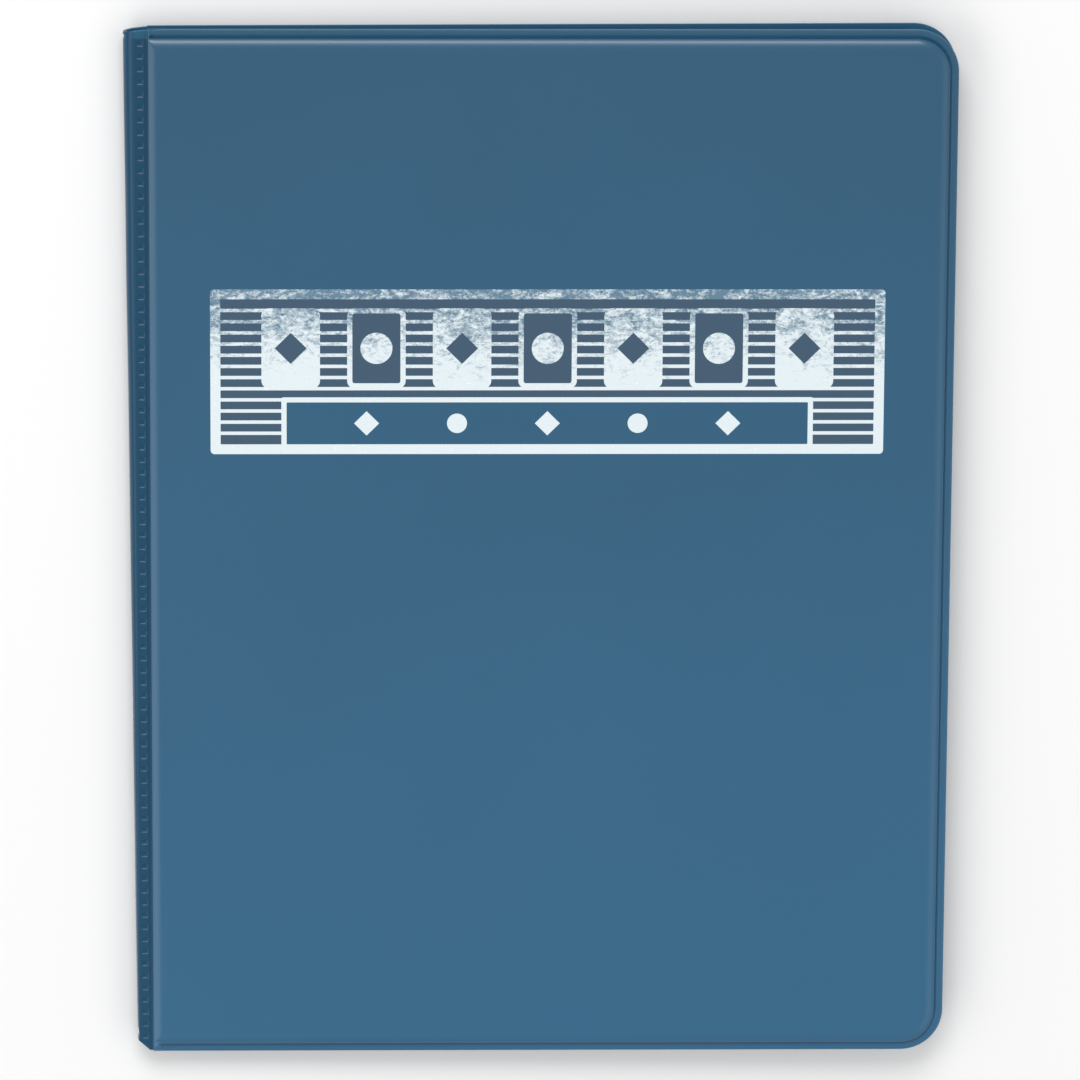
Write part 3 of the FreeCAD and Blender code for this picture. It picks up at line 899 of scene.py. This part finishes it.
@dataclass
class SpineWrap(AlbumPiece):
    """One half of the vinyl round the spine, from the middle of the spine to the cover's foot.

    Sizes are in millimetres. The outer layer carries the ladder weld; the inner one is plain.
    """

    side: Side
    inner: bool = False
    skin_gauge: float = 0.5
    head_bulge: float = 3.05
    tail_bulge: float = 0.45
    least_bulge: float = 0.06
    wobble: float = 0.10
    wobble_length: float = 38.0
    tail_dents: tuple[tuple[float, float, float], ...] = ((0.75, 5.0, 1.2), (-0.25, 2.9, 0.8))
    head_dent: tuple[float, float, float] = (0.30, 2.2, 0.8)
    cell_width: float = 2.2
    cell_length: float = 1.9
    cell_pitch: float = 3.7
    cell_margin: float = 3.0
    cell_depth: float = 0.30
    cell_slope: float = 0.42
    cell_shift: float = 0.25
    cell_lip: tuple[float, float] = (0.10, 0.03)
    cell_noise: float = 0.05
    cell_noise_length: float = 1.7
    recess: float = 0.14
    recess_wall: float = 0.3
    fold_dip: float = 0.05
    foot: float = 0.5
    end_cuts: tuple[float, ...] = (3.2, 2.8, 1.9, 0.9, 0.35, 0.0)
    end_thinning: float = 0.12
    head_slant: float = 0.85
    foot_slant: float = 0.3
    slant_curve: float = 1.3
    tail_trims: Steps = ((3.5, 3.9), (0.7, 6.1))
    arc_steps: int = 12
    fold_steps: int = 10

    def columns(self) -> list[tuple[str, float]]:
        """The section's stations, from the middle of the spine to the cover's foot.

        Returns:
            The kind of each station and its angle or its distance from the fold line.
        """
        album = self.album
        stations = [("arc", angle) for angle in steps_between(0.0, math.pi / 2, self.arc_steps)]
        margin = (album.band_width - self.cell_width * MM) / 2
        end = album.band_x + album.band_width
        shift = self.cell_shift * MM
        cell_sides = (album.band_x + margin + shift, end - margin + shift)
        stations += [("flat", place) for place in (album.band_x + self.recess_wall * MM, *cell_sides)]
        stations += [("flat", place) for place in steps_between(end, album.cover_start, self.fold_steps)]
        return stations + [("flat", album.cover_start + self.foot * MM)]

    def rows(self) -> list[float]:
        """Cuts along the spine: both ends and both sides of every ladder cell.

        Returns:
            Distances from the middle, tail first.
        """
        album = self.album
        run = 2 * album.half_height - 2 * self.cell_margin * MM - self.cell_length * MM
        count = int(run / (self.cell_pitch * MM)) + 1
        first = -(count - 1) * self.cell_pitch * MM / 2
        cells = []
        for index in range(count):
            centre = first + index * self.cell_pitch * MM
            cells += [centre - self.cell_length * MM / 2, centre + self.cell_length * MM / 2]
        ends = [album.half_height - cut * MM for cut in self.end_cuts]
        return [-place for place in reversed(ends)] + cells + ends

    def bulge(self, along: float) -> float:
        """How far the spine stands out at a height, flatter towards the tail.

        Args:
            along: Distance from the middle of the spine.

        Returns:
            The bulge in metres.
        """
        album = self.album
        share = (along + album.half_height) / (2 * album.half_height)
        wobble = self.wobble * noise.noise(Vector((along / (self.wobble_length * MM), 0.3, 0.7)))
        to_tail, to_head = (along + album.half_height) / MM, (album.half_height - along) / MM
        dents = hump(to_head, *self.head_dent) + sum(hump(to_tail, *dent) for dent in self.tail_dents)
        return (self.tail_bulge + (self.head_bulge - self.tail_bulge) * share + wobble - dents) * MM

    def station(self, kind: str, place: float, along: float) -> Vector:
        """A point of the flat pattern.

        Args:
            kind: The kind of station, arc or flat.
            place: The station's angle or distance.
            along: Distance from the middle of the spine.

        Returns:
            Distance from the fold line, distance along, height over the cover's inner face.
        """
        album = self.album
        inset = self.skin_gauge * MM if self.inner else 0.0
        roll = self.end_cuts[-2] * MM
        inset += self.end_thinning * MM * smooth_step(1 - (album.half_height - abs(along)) / roll)
        if kind == "arc":
            reach = max(self.bulge(along) - inset, self.least_bulge * MM)
            tall = album.spine_radius - inset
            point = Vector((album.band_x - reach * math.cos(place), along,
                            album.middle_level + tall * math.sin(place)))
        else:
            height = album.spine_level - inset - self.sink(place, along)
            point = Vector((place, along, height))
        near_head = smooth_step(1 - (album.half_height - along) / (self.end_cuts[0] * MM))
        width = album.cover_start - album.band_x + self.head_bulge * MM
        share = min(1.0, max(0.0, (album.cover_start - point.x) / width))
        point.y -= (self.foot_slant + self.head_slant * share ** self.slant_curve) * MM * near_head
        return point

    def sink(self, place: float, along: float) -> float:
        """How far the valley beside the cover lies below the spine's crown.

        Args:
            place: Distance from the fold line.
            along: Distance from the middle of the spine.

        Returns:
            The depth in metres; none within reach of the head, and little more at the fold line.
        """
        album = self.album
        across = smooth_step((place - album.band_x) / (self.recess_wall * MM))
        below_head = album.half_height - along - self.end_cuts[1] * MM
        along_share = smooth_step(below_head / ((self.end_cuts[0] - self.end_cuts[1]) * MM))
        dip = self.fold_dip * (1 - smooth_step(abs(place) / album.cover_start))
        return (self.recess * across * along_share + dip) * MM

    def is_cell(self, row: int, cut_count: int) -> bool:
        """Whether a row of faces is one of the ladder's cells, between the plain ends."""
        first = len(self.end_cuts)
        return first <= row <= cut_count - first - 2 and (row - first) % 2 == 0

    def press_cells(self, bm: BMesh, cells: list[BMFace]) -> None:
        """Press the ladder's cells into the band.

        Args:
            bm: The bmesh.
            cells: The faces to press.
        """
        for inward, down in (self.cell_lip, (self.cell_slope, self.cell_depth)):
            bmesh.ops.inset_individual(bm, faces=cells, thickness=inward * MM, depth=-down * MM,
                                       use_even_offset=True)
        for vert in {vert for face in cells for vert in face.verts}:
            vert.co.z += self.cell_noise * MM * noise.noise(vert.co / (self.cell_noise_length * MM))

    def build(self) -> None:
        """Model this half of the wrap."""
        album = self.album
        stations, cuts = self.columns(), self.rows()
        bm = bmesh.new()
        bmesh.ops.create_grid(bm, x_segments=len(stations) - 1, y_segments=len(cuts) - 1, size=0.5)
        band = self.arc_steps + 1
        cells = []
        for face in bm.faces:
            middle = face.calc_center_median()
            column = int((middle.x + 0.5) * (len(stations) - 1))
            row = int((middle.y + 0.5) * (len(cuts) - 1))
            if column == band and self.is_cell(row, len(cuts)):
                cells.append(face)
        for vert in bm.verts:
            column = round((vert.co.x + 0.5) * (len(stations) - 1))
            row = round((vert.co.y + 0.5) * (len(cuts) - 1))
            vert.co = self.station(*stations[column], cuts[row])
        bm.normal_update()
        if not self.inner:
            self.press_cells(bm, cells)
        self.trim_tail(bm)
        thicken(bm, album.liner_gauge if self.inner else self.skin_gauge * MM)
        move_all(bm, lambda point: self.side.place(album, point))
        if self.side is Side.BACK:
            bmesh.ops.reverse_faces(bm, faces=bm.faces)
        layer = "liner" if self.inner else "spine"
        # the outer layer wears the spine vinyl, whose darker colour is painted shade; the inner layer wears the
        # liner, lightened as painted light
        material = self.finishes.liner if self.inner else self.finishes.spine
        piece = finish_piece(bm, f"{self.side.value}_{layer}_wrap", [material], sharp_degrees=28)
        self.side.bend(piece, album)
        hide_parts("spine_liner" if self.inner else "spine_skin")

    def trim_tail(self, bm: BMesh) -> None:
        """Cut the wrap's tail corner off at a slant, as a trimming knife leaves it.

        Args:
            bm: The bmesh in the flat pattern.
        """
        album = self.album
        low = album.band_x - self.tail_bulge * MM
        tail = -album.half_height
        for along, across in self.tail_trims:
            start = Vector((low, tail + along * MM, 0))
            slant = Vector((across * MM, -along * MM, 0))
            keep_beyond(bm, start, Vector((slant.y, -slant.x, 0)))


# ---------------- pages


@dataclass
class PageWeld(AlbumPiece):
    """Bound ends of all pages, fused into a block of pressed layers under the ladder weld."""

    page_count: int
    press: float = 0.06
    edge_round: float = 0.08

    def build(self) -> None:
        """Model the block."""
        album = self.album
        low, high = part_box("page_tabs")
        right = album.fold_x - album.cover_start
        pitch = (high.z - low.z) / self.page_count
        bm = bmesh.new()
        for index in range(self.page_count):
            made = bmesh.ops.create_cube(bm, size=1.0)["verts"]
            bmesh.ops.scale(bm, vec=(right - low.x, high.y - low.y, pitch * (1 - self.press)), verts=made)
            middle = Vector(((low.x + right) / 2, 0, low.z + (index + 0.5) * pitch))
            bmesh.ops.translate(bm, vec=middle, verts=made)
        upright = [edge for edge in bm.edges if abs(edge.verts[0].co.y - edge.verts[1].co.y) > high.y]
        bmesh.ops.bevel(bm, geom=upright, affect="EDGES", offset=self.edge_round * MM,
                        segments=2, profile=0.5, material=-1)
        piece = finish_piece(bm, "page_weld_block", [self.finishes.weld])
        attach(piece, "binding")
        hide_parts("page_tabs")


@dataclass
class PocketPage(AlbumPiece):
    """One nine-pocket page: a backing sheet and three strips of pocket film welded onto it.

    Sizes are in millimetres.
    """

    number: int
    columns: int = 3
    rows: int = 3
    weld_line: float = 2.0
    page_corner: float = 4.0
    pillow: float = 0.05
    pillow_edge: float = 1.2
    film_gap: float = 0.03
    wave: float = 0.22
    shared_wave: tuple[float, float] = (95, 70)
    own_wave: tuple[float, float] = (60, 45)
    own_share: float = 0.35
    root_overlap: float = 0.3
    across_steps: int = 18
    along_steps: int = 22
    root_steps: int = 10

    @property
    def body(self) -> str:
        """The CAD body of this page."""
        return f"page_{self.number:02d}"

    def __post_init__(self) -> None:
        """Work out this page's slope and level from its CAD sheet."""
        album = self.album
        low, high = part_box(f"{self.body}_sheet")
        film_low, film_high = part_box(f"{self.body}_pockets")
        record = frame["record"]["behaviour"]["couplings"]
        ratio = next(c["ratio"] for c in record if c["joint"] == f"{self.body}_turn")
        self.angle = album.tilt * ratio
        self.start = low.x - album.fold_x
        self.end = high.x - album.fold_x
        self.half_height = high.y
        slope = math.sin(self.angle) * (high.x - low.x)
        self.sheet_gauge = (high.z - low.z) - slope
        self.drop = (album.fold_z + self.start * math.sin(self.angle) - low.z) / math.cos(self.angle)
        self.film_start = film_low.x - album.fold_x
        self.film_gauge = (film_high.z - film_low.z) - math.sin(self.angle) * (film_high.x - film_low.x)
        self.strip_height = (2 * high.y - (self.rows + 1) * self.weld_line * MM) / self.rows

    def place(self, point: Vector) -> Vector:
        """Put a point of the flat page where it lies in the shut album, with its slight wave.

        Args:
            point: Distance from the fold line, distance from the middle, height over the sheet's back.

        Returns:
            The point in the album's frame.
        """
        album = self.album
        root = -album.cover_start
        angle = self.angle * smooth_step((point.x - root) / (self.start - root))
        out = max(0.0, point.x - self.start) / (self.end - self.start)
        own = ripple(point, self.own_wave, 3.1 * self.number)
        lift = self.wave * MM * out * (ripple(point, self.shared_wave, 0.4) + self.own_share * own)
        return album.turned(point, angle, self.drop - point.z - lift)

    def attach(self, piece: bpy.types.Object) -> None:
        """Bake a piece's placement into its mesh; it is not attached to the page's body nor given a bend out of
        the weld.

        Args:
            piece: The finished piece.
        """
        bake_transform(piece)

    def slice_evenly(self, bm: BMesh) -> None:
        """Cut sheet and film at the same places, so that both follow the same waves."""
        slice_at(bm, 0, steps_between(self.start, self.end, self.across_steps)[1:-1])
        slice_at(bm, 1, steps_between(-self.half_height, self.half_height, self.along_steps)[1:-1])

    def build_sheet(self) -> None:
        """Model the backing sheet."""
        album = self.album
        bm = bmesh.new()
        root = -album.cover_start - self.root_overlap * MM
        face = outline_face(bm, root, self.end, self.half_height, self.page_corner * MM, 6)
        made = bmesh.ops.extrude_face_region(bm, geom=[face])["geom"]
        top = [item for item in made if isinstance(item, bmesh.types.BMVert)]
        bmesh.ops.translate(bm, vec=(0, 0, self.sheet_gauge), verts=top)
        slice_at(bm, 0, steps_between(-album.cover_start, self.start, self.root_steps))
        self.slice_evenly(bm)
        bmesh.ops.recalc_face_normals(bm, faces=bm.faces)
        move_all(bm, self.place)
        piece = finish_piece(bm, f"{self.body}_backing", [self.finishes.sheet])
        self.attach(piece)
        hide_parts(f"{self.body}_sheet")

    def build_pockets(self) -> None:
        """Model the pocket film: a strip for each row, each divided by pressed welds."""
        bm = bmesh.new()
        weld = self.weld_line * MM
        left, right = self.film_start, self.end
        pocket_width = (right - left - (self.columns + 1) * weld) / self.columns
        pitch = self.strip_height + weld
        for row in range(self.rows):
            low = -self.half_height + weld + row * pitch
            made = bmesh.ops.create_grid(bm, x_segments=1, y_segments=1, size=0.5)["verts"]
            bmesh.ops.scale(bm, vec=(right - left, self.strip_height, 1), verts=made)
            bmesh.ops.translate(bm, vec=((left + right) / 2, low + self.strip_height / 2, 0), verts=made)
        cuts = []
        for column in range(self.columns + 1):
            edge = left + column * (pocket_width + weld)
            cuts += [edge, edge + weld]
        slice_at(bm, 0, cuts[1:-1])
        slice_at(bm, 1, [-self.half_height + (row + 1) * pitch - self.strip_height + weld
                         for row in range(self.rows)])
        for face in bm.faces:
            middle = face.calc_center_median()
            across = (middle.x - left) % (pocket_width + weld)
            up = (middle.y + self.half_height - weld) % pitch
            face.material_index = int(across < weld or up < weld)
        pockets = [face for face in bm.faces if face.material_index == 0]
        bmesh.ops.inset_individual(bm, faces=pockets, thickness=self.pillow_edge * MM,
                                   depth=self.pillow * MM, use_even_offset=True)
        self.slice_evenly(bm)
        thicken(bm, self.film_gauge)
        lift = Vector((0, 0, self.sheet_gauge + self.film_gauge + self.film_gap * MM))
        move_all(bm, lambda point: self.place(point + lift))
        piece = finish_piece(bm, f"{self.body}_pocket_film", [self.finishes.pocket, self.finishes.weld])
        self.attach(piece)
        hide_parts(f"{self.body}_pockets")

    def build(self) -> None:
        """Model the whole page."""
        self.build_sheet()
        self.build_pockets()


# ---------------- pieces kept from the frame


def dress_kept_nodes(finishes: Finishes) -> None:
    """Give the CAD nodes whose own shape is right their finish.

    Args:
        finishes: The album's materials.
    """
    kept = {"foil_stamp": finishes.foil, "front_board": finishes.board, "back_board": finishes.board}
    for name, material in kept.items():
        mesh = frame["nodes"][name].data
        mesh.materials.clear()
        mesh.materials.append(material)
        LOG.info("%s: dressed in %s", name, material.name)


# ---------------- studio


@dataclass(frozen=True)
class SoftBox:
    """One rectangular studio light, aimed at the album."""

    name: str
    place: tuple[float, float, float]
    size: tuple[float, float]
    radiance: float

    def build(self) -> None:
        """Hang the light."""
        data = bpy.data.lights.new(self.name, "AREA")
        data.shape = "RECTANGLE"
        data.size, data.size_y = self.size
        data.energy = self.radiance * math.pi * data.size * data.size_y
        light = bpy.data.objects.new(self.name, data)
        light.location = self.place
        light.rotation_euler = Vector(self.place).to_track_quat("Z", "Y").to_euler()
        bpy.context.scene.collection.objects.link(light)


@dataclass(frozen=True)
class Camera:
    """A long lens above the album, leaning towards its head. Angles in degrees."""

    lean: float = 14.5
    yaw: float = 2.596
    roll: float = 0.336
    distance: float = 2.5169
    aside: tuple[float, float] = (-0.00045, -0.00129)
    pivot_height: float = 0.007
    lens: float = 289.8

    def build(self) -> None:
        """Set up the camera."""
        data = bpy.data.cameras.new("camera")
        data.lens, data.sensor_width = self.lens, 36.0
        data.clip_start, data.clip_end = 0.1, 50.0
        turn = (Matrix.Rotation(math.radians(self.roll), 3, "Z")
                @ Matrix.Rotation(math.radians(self.yaw), 3, "Y")
                @ Matrix.Rotation(math.radians(self.lean), 3, "X"))
        to_world = turn.transposed()
        offset = Vector((*self.aside, -self.distance))
        camera = bpy.data.objects.new("camera", data)
        place = Matrix.Translation(Vector((0, 0, self.pivot_height)) - to_world @ offset)
        camera.matrix_world = place @ to_world.to_4x4()
        bpy.context.scene.collection.objects.link(camera)
        bpy.context.scene.camera = camera


@dataclass(frozen=True)
class Studio:
    """Pale floor, pale surroundings, soft lights and the camera."""

    world_level: float = 0.55
    floor_size: float = 14.0
    lights: tuple[SoftBox, ...] = (
        SoftBox("head_softbox", (-0.22, 2.02, 2.22), (1.75, 1.35), 5.6),
        SoftBox("spine_softbox", (-1.10, -0.42, 1.42), (2.4, 0.9), 1.25),
        SoftBox("fore_softbox", (1.20, -0.45, 1.35), (2.0, 0.9), 0.55),
    )

    def build(self) -> None:
        """Set up the room, the lights and the camera."""
        bpy.context.scene.view_settings.view_transform = "Standard"
        world = bpy.data.worlds.new("studio")
        world.use_nodes = True
        background = next(n for n in world.node_tree.nodes if n.type == "BACKGROUND")
        background.inputs["Color"].default_value = (1.0, 1.0, 1.0, 1.0)
        background.inputs["Strength"].default_value = self.world_level
        bpy.context.scene.world = world
        bm = bmesh.new()
        bmesh.ops.create_grid(bm, x_segments=1, y_segments=1, size=self.floor_size / 2)
        mesh = bpy.data.meshes.new("floor")
        bm.to_mesh(mesh)
        bm.free()
        mesh.materials.append(FloorFinish().make())
        floor = bpy.data.objects.new("floor", mesh)
        bpy.context.scene.collection.objects.link(floor)
        for light in self.lights:
            light.build()
        Camera().build()


def main() -> None:
    """Build the album's pieces in order, then the studio."""
    logging.basicConfig(level=logging.INFO, format="%(message)s")
    album = AlbumFrame.from_cad()
    finishes = Finishes.make()
    for side in Side:
        CoverPanel(album, finishes, side).build()
        CoverLiner(album, finishes, side).build()
        SpineWrap(album, finishes, side).build()
        SpineWrap(album, finishes, side, inner=True).build()
    page_count = sum(name.endswith("_sheet") for name in frame["nodes"])
    PageWeld(album, finishes, page_count).build()
    for number in range(1, page_count + 1):
        PocketPage(album, finishes, number).build()
    dress_kept_nodes(finishes)
    Studio().build()


if __name__ == "__main__":
    main()
